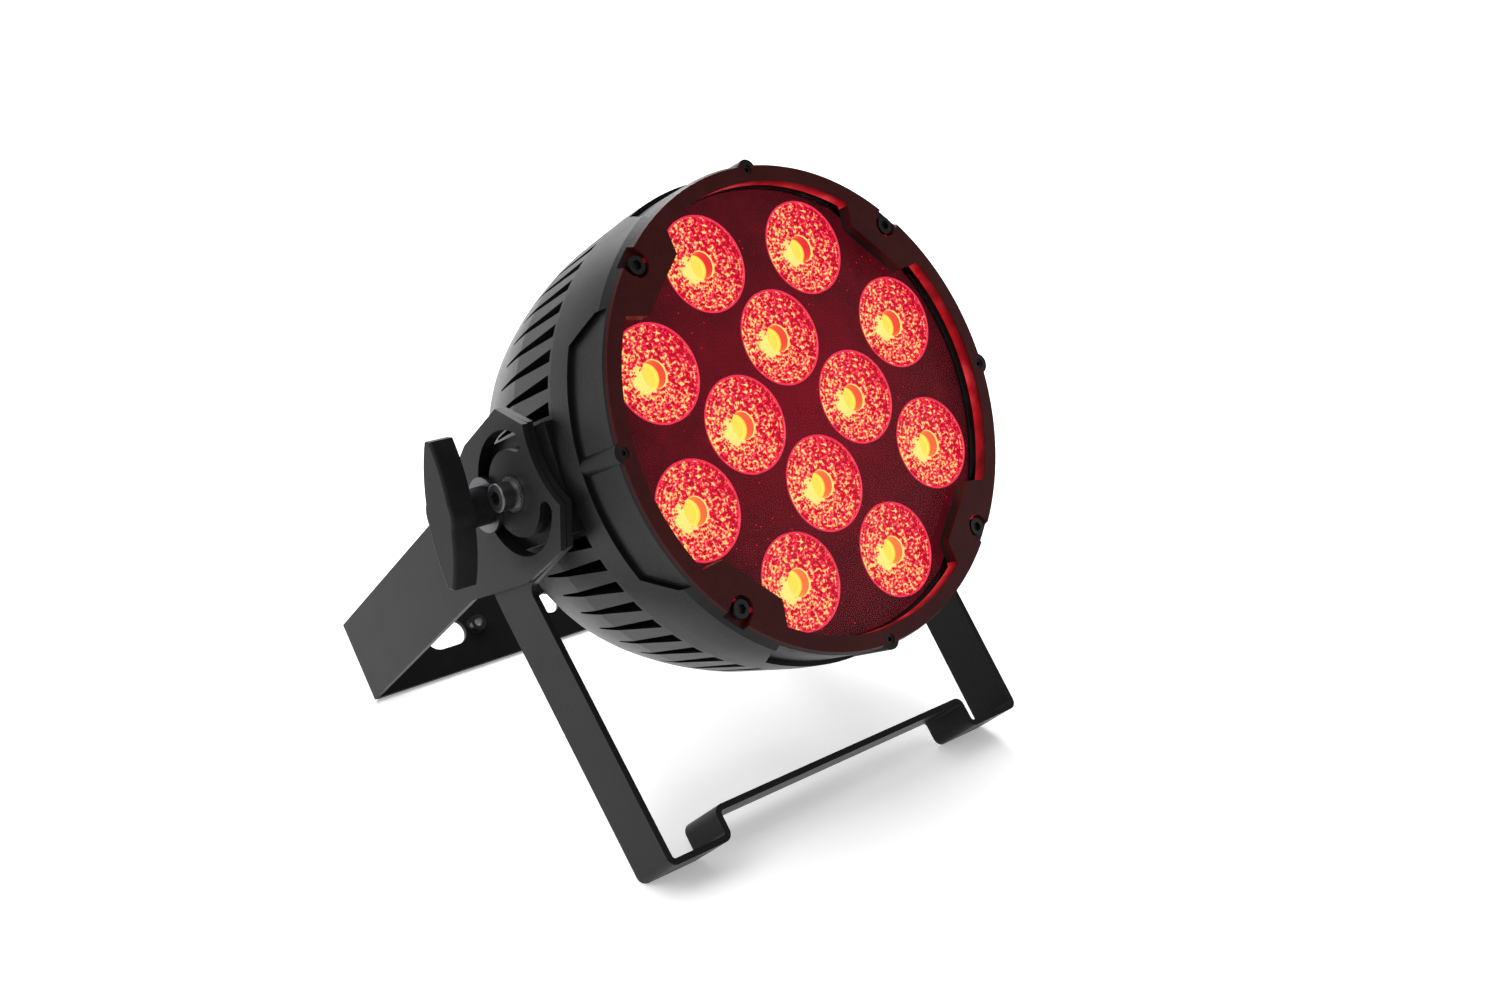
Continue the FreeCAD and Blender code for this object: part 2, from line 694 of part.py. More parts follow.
def front_housing():
    keep = rod(belly_r + 10, parting_z, bezel_z)
    body = front_band().common(keep)
    body = body.cut(rod(flange_in_r, parting_z - 1, bezel_z + 1))
    body = body.cut(rod(band_in_r, parting_z + flange_t, seat_z - seat_t))
    body = body.cut(rod(lip_r, parting_z + flange_t, bezel_z + 1))
    body = body.cut(rod(band_in_r, seat_z, bezel_z + 1))
    bosses = []
    holes = []
    for deg in diagonals:
        x, y = polar(bezel_screw_pitch_r, deg)
        bosses.append(rod(bezel_boss_r, parting_z, bezel_z, x, y))
        holes.append(rod(bezel_screw_r, bezel_z - 18, bezel_z + 1, x, y))
    for deg in quarters:
        x, y = polar(rim_screw_pitch_r, deg)
        holes.append(rod(rim_screw_r, seat_z - seat_t, bezel_z + 1, x, y))
    for i in range(outer_count):
        x, y = polar(housing_screw_pitch_r, (i + 0.5) * 360.0 / outer_count)
        holes.append(rod(housing_screw_r, parting_z - 1, parting_z + flange_t + 1, x, y))
    groove = tube(seal_groove_r + seal_groove_w / 2, seal_groove_r - seal_groove_w / 2,
                  parting_z - 1, parting_z + seal_groove_deep)
    return body.fuse(bosses).cut(holes).cut(groove)


def front_bezel():
    keep = rod(belly_r + 10, bezel_z, front_z)
    body = front_band().common(keep).cut(rod(lip_r, bezel_z - 1, front_z + 1))
    corners = [(block_in, -block_in_half), (block_out, -block_out_half), (lip_r + 3, -block_out_half),
               (lip_r + 3, block_out_half), (block_out, block_out_half), (block_in, block_in_half)]
    corner_block = prism(corners, bezel_z, front_z)
    pocket_floor = front_z - bezel_pocket_deep
    hollow = rod(bezel_pocket_half, pocket_floor, front_z + 1, bezel_screw_pitch_r)
    hollow = hollow.fuse(Part.makeBox(20, 2 * bezel_pocket_half, bezel_pocket_deep + 1,
                                      V(bezel_screw_pitch_r, -bezel_pocket_half, pocket_floor)))
    hollow = hollow.fuse(rod(bezel_screw_r, bezel_z - 1, front_z, bezel_screw_pitch_r))
    body = body.fuse([spun(corner_block, deg) for deg in diagonals]).removeSplitter()
    body = body.cut([spun(hollow, deg) for deg in diagonals])
    sink = rod(rim_head_r, front_z - rim_head_deep, front_z + 1, rim_screw_pitch_r)
    sink = sink.fuse(rod(rim_screw_r, bezel_z - 1, front_z, rim_screw_pitch_r))
    return body.cut([spun(sink, deg) for deg in quarters])


def bezel_screws():
    seat = front_z - bezel_pocket_deep
    screw = socket_screw(bezel_head_r, bezel_head_h, bezel_screw_r, seat, bezel_z - 16,
                         bezel_screw_pitch_r, 0, 2.4)
    return [spun(screw, deg) for deg in diagonals]


def rim_screws():
    seat = front_z - rim_head_deep
    screw = socket_screw(rim_head_r, rim_head_h, rim_screw_r, seat, seat_z - seat_t + 1,
                         rim_screw_pitch_r, 0, 1.3)
    return [spun(screw, deg) for deg in quarters]


def inner_screws():
    """Screws of the front housing's flange and of the heat spreader."""
    screws = []
    for i in range(outer_count):
        x, y = polar(housing_screw_pitch_r, (i + 0.5) * 360.0 / outer_count)
        seat = parting_z + flange_t
        screws.append(socket_screw(housing_head_r, 3.0, housing_screw_r, seat,
                                   seat - housing_screw_len, x, y, 1.4))
    for i in range(spreader_screws):
        x, y = polar(spreader_boss_pitch_r, i * 360.0 / spreader_screws)
        seat = parting_z - spreader_head_h
        screws.append(socket_screw(spreader_head_r, spreader_head_h, spreader_screw_r, seat,
                                   parting_z - spreader_screw_len, x, y, 1.4))
    return screws


# ---- Optics ----
def lens_spots():
    """Centres of the lenses: the outer ring from the upper left clockwise, then the inner."""
    spots = [polar(outer_pitch_r, 112.5 - i * 360.0 / outer_count) for i in range(outer_count)]
    return spots + [polar(inner_pitch_r, 90.0 - i * 360.0 / inner_count) for i in range(inner_count)]


def cap(r, z, height):
    """Arc from a rim of radius r at z to the axis, for a dome whose centre is on the axis."""
    ball = (r * r + height * height) / (2 * height)
    centre = z + height - ball
    half = math.asin(r / ball) / 2
    shoulder = V(ball * math.sin(half), 0, centre + ball * math.cos(half))
    return arc(V(r, 0, z), shoulder, V(0, 0, z + height))


def lens():
    """Collimator with a deep front bore that ends in a dome, and a well for the emitter."""
    edge_back = mask_z - lens_edge_t
    bore_z = mask_z - lens_bore_deep
    well_z = lens_back_z + lens_well_deep
    rim = lens_r - lens_rim_w
    corners = [(lens_well_r, well_z), (lens_well_r, lens_back_z), (lens_back_r, lens_back_z),
               (rim, edge_back - lens_rim_slope), (lens_r, edge_back), (lens_r, mask_z),
               (lens_bore_r, mask_z), (lens_bore_r, bore_z)]
    pts = [V(r, 0, z) for r, z in corners]
    edges = [line(p, n) for p, n in zip(pts, pts[1:])]
    edges.append(cap(lens_bore_r, bore_z, lens_dome_h))
    edges.append(line(V(0, 0, bore_z + lens_dome_h), V(0, 0, well_z + lens_well_dome_h)))
    edges.append(cap(lens_well_r, well_z, lens_well_dome_h))
    return turned(edges)


def lens_holder():
    edge_back = mask_z - lens_edge_t
    slope = (lens_r - lens_rim_w - lens_back_r) / (edge_back - lens_rim_slope - lens_back_z)
    top = edge_back - 1.0
    reach = lens_back_r + slope * (top - lens_back_z)
    shelf = lens_back_z - holder_gap
    return turned_points([(holder_foot_in_r, led_board_z), (holder_foot_r, led_board_z),
                          (holder_foot_r, lens_back_z + 1.5), (reach + holder_wall + 0.3, top),
                          (reach + holder_gap, top), (lens_back_r + holder_gap, lens_back_z),
                          (lens_back_r + holder_gap, shelf), (holder_foot_in_r, shelf)])


def led_package():
    chip = block(led_w, led_w, led_board_z, led_board_z + led_h)
    dome = Part.makeSphere(led_dome_r, V(0, 0, led_board_z + led_h))
    return chip.fuse(dome.common(rod(led_dome_r + 1, led_board_z + led_h / 2, led_board_z + 5)))


def mask_screw_spots():
    return [polar(mask_screw_pitch_r, deg) for deg in diagonals] + [(0.0, 0.0)]


def mask_plate():
    plate = flatted(lip_r - mask_gap, mask_back_z, mask_z)
    holes = [rod(lens_r + lens_gap, mask_back_z - 1, mask_z + 1, x, y) for x, y in lens_spots()]
    holes += [rod(mask_screw_r, mask_back_z - 1, mask_z + 1, x, y) for x, y in mask_screw_spots()]
    return plate.cut(holes)


def mask_standoffs():
    """Threaded pillars: four stand on the heat spreader, the middle one on the LED board."""
    pillars = []
    for x, y in mask_screw_spots():
        foot = led_board_z if x == y == 0 else parting_z
        pillars.append(tube(standoff_r, mask_screw_r, foot, mask_back_z, x, y))
    return pillars


def mask_screws():
    screws = []
    for x, y in mask_screw_spots():
        screws.append(socket_screw(mask_head_r, mask_head_h, mask_screw_r, mask_z,
                                   mask_back_z - 8, x, y, 1.3))
    return screws


def heat_spreader():
    plate = rod(cavity_r - spreader_gap, spreader_z, parting_z)
    for i in range(spreader_screws):
        x, y = polar(spreader_boss_pitch_r, i * 360.0 / spreader_screws)
        plate = plate.cut(rod(spreader_screw_r, spreader_z - 1, parting_z + 1, x, y))
        plate = plate.cut(rod(spreader_head_r, parting_z - spreader_head_h, parting_z + 1, x, y))
    for i in range(outer_count):
        x, y = polar(housing_screw_pitch_r, (i + 0.5) * 360.0 / outer_count)
        notch = rod(housing_head_r + 0.5, spreader_z - 1, parting_z + 1, x, y)
        plate = plate.cut(notch)
    return plate


def glass_seal():
    outer = flatted(glass_r, seat_z, glass_back_z)
    return outer.cut(rod(glass_seal_in_r, seat_z - 1, glass_back_z + 1))


# ---- Electronics ----
def board_corners():
    dx = board_w / 2 - board_inset
    dy = board_h / 2 - board_inset
    return [(sx * dx, sy * dy) for sx in (-1, 1) for sy in (-1, 1)]


def power_supply():
    front = spreader_z - psu_standoff_len
    case = block(psu_w, psu_h, front - psu_t, front)
    case = rounded(case, 2.0, lambda e: along(e, V(0, 0, 1)))
    vents = [block(3.0, psu_h * 0.6, front - psu_t - 1, front - psu_t + 1.5, x * 8.0)
             for x in range(-5, 6)]
    return case.cut(vents)


def board_standoffs():
    """Pillars from the heat spreader to the driver board, and spacers to the power supply."""
    pillars = [rod(board_standoff_r, board_front_z, spreader_z, x, y) for x, y in board_corners()]
    dx = psu_w / 2 - board_inset
    dy = psu_h / 2 - board_inset
    front = spreader_z - psu_standoff_len
    pillars += [rod(board_standoff_r, front, spreader_z, sx * dx, sy * dy)
                for sx in (-1, 1) for sy in (-1, 1)]
    return pillars


def driver_components():
    """Chokes, capacitors and a connector on the back of the driver board."""
    back = board_front_z - board_t
    pieces = [tube(11.0, 5.0, back - 9, back, x, 30.0) for x in (-38.0, 0.0, 38.0)]
    pieces += [rod(6.3, back - 16, back, x, -2.0) for x in (-45.0, -30.0)]
    pieces += [block(12.0, 12.0, back - 2.4, back, x, 5.0) for x in (-8.0, 10.0, 28.0)]
    pieces.append(block(30.0, 8.0, back - 9, back, 30.0, -38.0))
    return pieces


# ---- Rear panel ----
def rear_cover():
    cover = rod(cover_r, back_z, back_z + cover_t)
    low = back_z - 1
    high = back_z + cover_t + 1
    holes = []
    for i in range(cover_screws):
        x, y = polar(cover_screw_pitch_r, i * 360.0 / cover_screws)
        holes.append(rod(cover_screw_r, low, high, x, y))
    holes.append(block(window_w - 6, window_h - 6, low, high, 0, window_y))
    holes.append(block(window_w, window_h, low, back_z + window_t, 0, window_y))
    holes += [rod(button_r + button_gap, low, high, x, button_y) for x in button_xs]
    for x in socket_xs:
        holes.append(rod(socket_body_r + socket_hole_gap, low, high, x, socket_y))
        holes += [rod(socket_screw_r, low, high, x + dx, socket_y + dy)
                  for dx, dy in socket_screw_spots()]
    holes.append(rod(vent_stem_r, low, high, 0, vent_y))
    return cover.cut(holes)


def socket_screw_spots():
    return [(-socket_screw_x, socket_screw_y), (socket_screw_x, -socket_screw_y)]


def rear_screws():
    """Screws of the rear cover and of the four sockets."""
    screws = []
    for i in range(cover_screws):
        x, y = polar(cover_screw_pitch_r, i * 360.0 / cover_screws)
        screws.append(back_screw(cover_head_r, cover_head_h, cover_screw_r, back_z,
                                 back_z + cover_screw_len, x, y))
    seat = back_z - socket_flange_t
    for x in socket_xs:
        for dx, dy in socket_screw_spots():
            screws.append(back_screw(socket_head_r, socket_head_h, socket_screw_r, seat,
                                     back_z + cover_t, x + dx, socket_y + dy))
    return screws


def socket(x, bore_r, collar):
    """Panel socket: a flange, a round body and a plain bore for the plug's nose."""
    face = back_z - socket_flange_t
    flange = block(socket_flange_w, socket_flange_h, face, back_z, x, socket_y)
    flange = rounded(flange, socket_flange_corner, lambda e: along(e, V(0, 0, 1)))
    body = flange.fuse(rod(socket_body_r, back_z, back_z + socket_body_len, x, socket_y))
    body = body.fuse(rod(bore_r + 1.6, face - collar, face, x, socket_y))
    floor = face - collar + socket_bore_deep
    body = body.cut(rod(bore_r, face - collar - 1, floor, x, socket_y))
    body = body.cut(rod(socket_floor_r, floor - 1, floor + socket_floor_deep, x, socket_y))
    for dx, dy in socket_screw_spots():
        body = body.cut(rod(socket_screw_r, face - 1, back_z + 1, x + dx, socket_y + dy))
    return body.removeSplitter()


def socket_contacts():
    """Three contacts on the floor of each socket."""
    pins = []
    for x, collar in zip(socket_xs, socket_collars):
        floor = back_z - socket_flange_t - collar + socket_bore_deep + socket_floor_deep
        for i in range(3):
            dx, dy = polar(contact_pitch_r, 90 + i * 120)
            pins.append(rod(contact_r, floor - contact_h, floor, x + dx, socket_y + dy))
    return pins


def button(x):
    """Push button: a domed cap outside, a retaining flange and a stem inside."""
    inner = back_z + cover_t
    cap = rod(button_r, back_z - button_proud, inner + 0.2, x, button_y)
    cap = rounded(cap, 0.8, lambda e: abs(e.BoundBox.ZMax - back_z + button_proud) < 0.01)
    flange = rod(button_flange_r, inner + 0.2, inner + 0.2 + button_flange_t, x, button_y)
    stem_end = panel_board_z - switch_h - button_travel - 0.3
    return cap.fuse([flange, rod(button_stem_r, inner, stem_end, x, button_y)])


def display_board():
    front = panel_board_z + board_t
    return block(panel_board_w, panel_board_h, panel_board_z, front, 0, panel_board_y)


def button_switches():
    return [block(switch_w, switch_w, panel_board_z - switch_h, panel_board_z, x, button_y)
            for x in button_xs]


def vent_plug():
    plug = rod(vent_r, back_z - vent_h, back_z, 0, vent_y)
    plug = rounded(plug, 0.8, lambda e: abs(e.BoundBox.ZMax - back_z + vent_h) < 0.01)
    return plug.fuse(rod(vent_stem_r, back_z, back_z + 10, 0, vent_y))


# ---- Build ----
socket_collars = [5.0, 1.0, 1.0, 5.0]
os.makedirs("parts", exist_ok=True)

save("rear_bracket", rear_bracket(), rear_place)
save("crossbar_inserts", crossbar_inserts(), rear_place)
save("front_bracket", front_bracket(), front_place)

save("rear_housing", rear_housing(), head_place)
save("front_housing", front_housing(), head_place)
save("housing_seal", tube(seal_groove_r + seal_groove_w / 2, seal_groove_r - seal_groove_w / 2,
                          parting_z, parting_z + seal_groove_deep), head_place)
save("front_bezel", front_bezel(), head_place)
save("bezel_screws", bezel_screws(), head_place)
save("rim_screws", rim_screws(), head_place)
save("inner_screws", inner_screws(), head_place)
save("glass_seal", glass_seal(), head_place)
save("front_glass", flatted(glass_r, glass_back_z, bezel_z), head_place)

save("heat_spreader", heat_spreader(), head_place)
save("led_board", rod(led_board_r, parting_z, led_board_z), head_place)
save("led_packages", [moved(led_package(), x, y) for x, y in lens_spots()], head_place)
save("lens_holders", [moved(lens_holder(), x, y) for x, y in lens_spots()], head_place)
for number, (lens_x, lens_y) in enumerate(lens_spots(), 1):
    save("lens_%02d" % number, moved(lens(), lens_x, lens_y), head_place)
save("mask_plate", mask_plate(), head_place)
save("mask_standoffs", mask_standoffs(), head_place)
save("mask_screws", mask_screws(), head_place)

save("power_supply", power_supply(), head_place)
save("driver_board", block(board_w, board_h, board_front_z - board_t, board_front_z), head_place)
save("board_standoffs", board_standoffs(), head_place)
save("driver_components", driver_components(), head_place)

save("rear_cover", rear_cover(), head_place)
save("rear_cover_seal", tube(rear_opening_r + 0.2 + cover_seal_w, rear_opening_r + 0.2,
                             cover_seat_z - cover_seal_t, cover_seat_z), head_place)
save("rear_screws", rear_screws(), head_place)
save("display_window", block(window_w - 2 * window_gap, window_h - 2 * window_gap, back_z,
                             back_z + window_t, 0, window_y), head_place)
save("display_board", display_board(), head_place)
save("button_switches", button_switches(), head_place)
for number, button_x in enumerate(button_xs, 1):
    save("button_%d" % number, button(button_x), head_place)
bores = [power_bore_r, data_bore_r, data_bore_r, power_bore_r]
socket_names = ["power_in", "data_in", "data_out", "power_out"]
for name, socket_x, bore_r, collar_h in zip(socket_names, socket_xs, bores, socket_collars):
    save(name, socket(socket_x, bore_r, collar_h), head_place)
save("socket_contacts", socket_contacts(), head_place)
save("vent_plug", vent_plug(), head_place)

save("pivot_screws", [pivot_screw(), mirrored(pivot_screw())], head_place)
save("pivot_washers", [pivot_washer(), mirrored(pivot_washer())], head_place)
for hand, turn in (("right", lambda s: s), ("left", mirrored)):
    save("knob_grip_" + hand, turn(knob_grip()), head_place)
    save("knob_stud_" + hand, turn(knob_stud()), head_place)
    save("knob_washer_" + hand, turn(knob_washer()), head_place)
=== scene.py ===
# %% [markdown]
# # A twelve-lens LED par can
# A par can is the small floodlight of stages and halls: a round cast head that tilts
# between two brackets, with coloured lights behind twelve lenses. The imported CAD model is
# the frame of this scene. It holds every housing, bracket, screw and socket at its real
# size and place. This file adds the finishes, the pebbled lenses, the digits on the rear
# display and the studio. Everything is in metres, in the frame's own axes.

import json
import math

import bmesh
import bpy
from mathutils import Matrix, Vector


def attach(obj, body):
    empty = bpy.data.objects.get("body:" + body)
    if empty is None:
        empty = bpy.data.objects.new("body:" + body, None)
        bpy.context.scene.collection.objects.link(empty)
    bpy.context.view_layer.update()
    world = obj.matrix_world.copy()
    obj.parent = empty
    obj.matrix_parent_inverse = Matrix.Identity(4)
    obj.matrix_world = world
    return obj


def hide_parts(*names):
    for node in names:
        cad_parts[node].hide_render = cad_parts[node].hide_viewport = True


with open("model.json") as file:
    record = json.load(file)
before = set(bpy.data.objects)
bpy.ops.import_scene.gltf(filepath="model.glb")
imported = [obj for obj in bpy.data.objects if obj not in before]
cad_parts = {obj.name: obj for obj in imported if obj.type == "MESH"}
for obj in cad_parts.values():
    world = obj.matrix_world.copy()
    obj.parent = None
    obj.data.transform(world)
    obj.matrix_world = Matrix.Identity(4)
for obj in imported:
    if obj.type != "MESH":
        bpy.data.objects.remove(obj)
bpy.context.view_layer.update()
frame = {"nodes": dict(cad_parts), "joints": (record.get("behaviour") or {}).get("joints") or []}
nodes = frame["nodes"]
joints = {joint["name"]: joint for joint in frame["joints"]}

# %% [markdown]
# ## Where the head is
# The head leans back between the brackets, so its pieces are easiest to draw in its own
# axes: x to its right, y up its face, z out along the light. The angle could be written
# here again, but then it would go wrong when the model's tilt changes. The buttons are
# pressed along the optical axis, so their travel gives the tilt instead.

# %% Where the head is
pivot = Vector(joints["head_tilt"]["pos_m"])
press = Vector(joints["button_1_press"]["axis"])
tilt = math.asin(press.z)
head_turn = Matrix.Rotation(math.pi / 2 - tilt, 4, "X")
head_place = Matrix.Translation(pivot) @ head_turn
print("pivot", tuple(round(v, 4) for v in pivot), "tilt", round(math.degrees(tilt), 1))


# %% [markdown]
# ## The camera
# The light is seen from its front left, a little from above. The camera could track an
# empty, but a constraint hides where it really stands. So its place is given from the tilt
# axis, and it is turned by the direction it looks in plus a slight roll, since a hand-held
# view is seldom quite level.

# %% The camera
CAMERA_FROM_PIVOT = Vector((-0.5023, -0.5600, 0.2652))
LOOK_AZIMUTH = math.radians(42.89)
LOOK_DOWN = math.radians(21.55)
ROLL = math.radians(2.43)
FOCAL_MM = 38.81

look = Vector((math.sin(LOOK_AZIMUTH) * math.cos(LOOK_DOWN),
               math.cos(LOOK_AZIMUTH) * math.cos(LOOK_DOWN),
               -math.sin(LOOK_DOWN)))
level = look.to_track_quat("-Z", "Y").to_matrix().to_4x4()
camera_data = bpy.data.cameras.new("camera")
camera_data.lens = FOCAL_MM
camera = bpy.data.objects.new("camera", camera_data)
stand = Matrix.Translation(pivot + CAMERA_FROM_PIVOT)
camera.matrix_world = stand @ level @ Matrix.Rotation(ROLL, 4, "Z")
bpy.context.scene.collection.objects.link(camera)
bpy.context.scene.camera = camera
print("camera", tuple(round(v, 3) for v in camera.location))


# %% [markdown]
# ## The studio floor
# The light stands on a white sweep of paper. A curved backdrop would hide the horizon, but
# the object is looked at from all sides, so a very wide flat plane does the same for all.

# %% The studio floor
FLOOR_HALF = 60.0

bpy.ops.object.select_all(action="DESELECT")
bpy.ops.mesh.primitive_plane_add(size=2 * FLOOR_HALF, location=(0, 0, 0))
floor = bpy.context.object
floor.name = "studio_floor"
print("floor", 2 * FLOOR_HALF, "m wide")

# %% [markdown]
# ## The studio lights
# A black coat shows mostly what it mirrors, so the lamps are large and soft: one high on
# the left, one behind that draws the edges, and an even light from above. The last could
# be a huge area lamp, but a sun with a wide angle lights the whole floor equally.

# %% The studio lights
OVERHEAD_STRENGTH = 2.0
OVERHEAD_SPREAD = math.radians(70)
OVERHEAD_LEAN = (math.radians(-12), math.radians(-8), 0)


def area_light(name, place, size, watts):
    """A square soft light at place, aimed at the tilt axis."""
    data = bpy.data.lights.new(name, "AREA")
    data.size = size
    data.energy = watts
    lamp = bpy.data.objects.new(name, data)
    lamp.location = place
    lamp.rotation_euler = (pivot - Vector(place)).to_track_quat("-Z", "Y").to_euler()
    bpy.context.scene.collection.objects.link(lamp)


area_light("key", (-1.7, -0.3, 1.5), 1.2, 17)
area_light("rim", (0.5, 1.6, 1.2), 1.0, 26)
overhead_data = bpy.data.lights.new("overhead", "SUN")
overhead_data.energy = OVERHEAD_STRENGTH
overhead_data.angle = OVERHEAD_SPREAD
overhead = bpy.data.objects.new("overhead", overhead_data)
overhead.rotation_euler = OVERHEAD_LEAN
bpy.context.scene.collection.objects.link(overhead)
print("lamps", len(bpy.data.lights))

# %% [markdown]
# ## The sky
# An even white sky would wash the black coat out, and an even grey one would show as a band
# above the floor. So the sky is a white belt round the horizon with a dimmer top, made by a
# colour ramp over the height of the direction.

# %% The sky
BELT_TOP = 0.22
DIM_FROM = 0.45
DIM_SKY = (0.27, 0.27, 0.28, 1.0)
WHITE_SKY = (1.0, 1.0, 1.0, 1.0)

world = bpy.data.worlds.new("studio_sky")
world.use_nodes = True
sky_nodes = world.node_tree.nodes
sky = sky_nodes["Background"]
sky.inputs["Strength"].default_value = 1.0
direction = sky_nodes.new("ShaderNodeTexCoord")
upward = sky_nodes.new("ShaderNodeSeparateXYZ")
belt = sky_nodes.new("ShaderNodeValToRGB")
for stop, height, colour in zip(belt.color_ramp.elements, (BELT_TOP, DIM_FROM),
                                (WHITE_SKY, DIM_SKY)):
    stop.position = height
    stop.color = colour
world.node_tree.links.new(direction.outputs["Generated"], upward.inputs[0])
world.node_tree.links.new(upward.outputs["Z"], belt.inputs["Fac"])
world.node_tree.links.new(belt.outputs["Color"], sky.inputs["Color"])
bpy.context.scene.world = world
bpy.context.scene.view_settings.view_transform = "Standard"
print("sky nodes", len(sky_nodes))


# %% [markdown]
# ## Shader maths as Python
# A node tree could be wired one link at a time, but it reads far better as an expression.
# `Sock` wraps an output socket, so that sums and products of values add their Math nodes.

# %% A socket with arithmetic
class Sock:
    """One output socket of a finish, with arithmetic."""

    def __init__(self, finish, out):
        self.finish = finish
        self.out = out

    def maths(self, operation, other, swap=False):
        pair = (other, self) if swap else (self, other)
        return self.finish.node("ShaderNodeMath", {"operation": operation}, dict(enumerate(pair)))

    def __add__(self, other):
        return self.maths("ADD", other)

    def __sub__(self, other):
        return self.maths("SUBTRACT", other)

    def __mul__(self, other):
        return self.maths("MULTIPLY", other)

    def __truediv__(self, other):
        return self.maths("DIVIDE", other)

    def __pow__(self, other):
        return self.maths("POWER", other)

    def __radd__(self, other):
        return self.maths("ADD", other, swap=True)

    def __rsub__(self, other):
        return self.maths("SUBTRACT", other, swap=True)

    def __rmul__(self, other):
        return self.maths("MULTIPLY", other, swap=True)

    def above(self, edge):
        return self.maths("GREATER_THAN", edge)

    def below(self, edge):
        return self.maths("LESS_THAN", edge)

    def share(self):
        """The value held between 0 and 1."""
        return self.maths("MAXIMUM", 0.0).maths("MINIMUM", 1.0)


def length(x, y):
    """Distance from the origin of a point whose two coordinates are values."""
    return (x * x + y * y) ** 0.5


# %% [markdown]
# ## A finish
# Every surface here is one Principled shader with procedural inputs. Image textures would
# need files and seams, while a pattern on Object coordinates runs through the whole piece.
# `node` makes any node: its settings first, then its sockets, and it gives one output.

# %% A finish
class Finish:
    """A material built round one Principled shader."""

    def __init__(self, name, colour, roughness, **settings):
        self.material = bpy.data.materials.new(name)
        self.material.use_nodes = True
        self.tree = self.material.node_tree
        self.shader = self.tree.nodes["Principled BSDF"]
        self.set("Base Color", colour)
        self.set("Roughness", roughness)
        for socket, value in settings.items():
            self.set(socket.replace("_", " "), value)

    def set(self, socket, value):
        self.put(self.shader.inputs[socket], value)

    def put(self, target, value):
        if isinstance(value, Sock):
            self.tree.links.new(value.out, target)
        elif isinstance(value, tuple) and len(value) == 3 and target.type == "RGBA":
            target.default_value = (*value, 1.0)
        else:
            target.default_value = value

    def node(self, kind, settings=None, inputs=None, out=0):
        made = self.tree.nodes.new(kind)
        for name, value in (settings or {}).items():
            if name == "stops":
                ramp = made.color_ramp.elements
                while len(ramp) < len(value):
                    ramp.new(0.5)
                for stop, (position, colour) in zip(ramp, value):
                    stop.position = position
                    stop.color = (*colour, 1.0)
            else:
                setattr(made, name, value)
        for name, value in (inputs or {}).items():
            self.put(made.inputs[name], value)
        return Sock(self, made.outputs[out])

    def place(self):
        """Object coordinates, which are the frame's own metres."""
        return self.node("ShaderNodeTexCoord", out="Object")

    def head_place(self):
        """Coordinates on the head: x right, y up, z along the optical axis."""
        back = head_turn.inverted().to_euler()
        shifted = self.node("ShaderNodeVectorMath", {"operation": "SUBTRACT"},
                            {0: self.place(), 1: tuple(pivot)})
        return self.node("ShaderNodeMapping", {}, {"Vector": shifted, "Rotation": tuple(back)})

    def parts(self, vector, count=3):
        """The first count of a vector's x, y and z, each as a value."""
        return [self.node("ShaderNodeSeparateXYZ", {}, {0: vector}, axis)
                for axis in range(count)]

    def noise(self, scale, detail=2.0, vector=None, roughness=0.5):
        return self.node("ShaderNodeTexNoise", {}, {
            "Vector": vector or self.place(), "Scale": scale, "Detail": detail,
            "Roughness": roughness})

    def cells(self, scale, feature="F1", vector=None, out="Distance"):
        return self.node("ShaderNodeTexVoronoi", {"feature": feature},
                         {"Vector": vector or self.place(), "Scale": scale}, out)

    def ramp(self, factor, stops):
        return self.node("ShaderNodeValToRGB", {"stops": stops}, {"Fac": factor})

    def mix(self, factor, first, second):
        return self.node("ShaderNodeMix", {"data_type": "RGBA"},
                         {0: factor, 6: first, 7: second}, 2)

    def bump(self, height, strength, distance):
        return self.node("ShaderNodeBump", {}, {
            "Height": height, "Strength": strength, "Distance": distance})


# %% [markdown]
# ## Dressing the CAD pieces
# The CAD meshes stay as they are. A finish only takes the place of their plain material.

# %% Dressing the CAD pieces
def wear(finish, node_names):
    """Give CAD nodes a finish, by their material slots, and say so."""
    for name in node_names:
        piece = nodes[name]
        piece.data.materials.clear()
        piece.data.materials.append(finish.material)
    print(finish.material.name, "on", len(node_names))


def grey(value):
    return (value, value, value)


def scaled(colour, factor):
    return tuple(channel * factor for channel in colour)


# %% [markdown]
# ## The paper
# A faint mottling, like coated paper, so that the floor isn't a dead flat white. It glows
# a little, as a sheet lit from below does, which keeps the shadow pale.

# %% The paper
paper = Finish("white_paper", grey(0.9), 0.65)
paper.set("Base Color", paper.ramp(paper.noise(3.0), [(0.0, grey(0.93)), (1.0, grey(0.96))]))
paper.set("Emission Color", grey(1.0))
paper.set("Emission Strength", 0.30)
floor.data.materials.append(paper.material)


# %% [markdown]
# ## Powder coat
# The brackets and the cast head wear a black polyester powder coat. It melts into an
# orange peel about a millimetre across, with a finer grain in it, and it keeps dust and
# pale rub marks. Real bumps that small would need millions of faces, so a Bump node gives
# them. The cast parts get a coarser peel than the flat steel, and long scratches lie
# across the width of the light.

# %% Powder coat
PEEL_SCALE = 750.0
GRAIN_SCALE = 2300.0
PEEL_DEPTH = 0.0002
SCRATCH_STRETCH = (1.0, 0.12, 0.12)


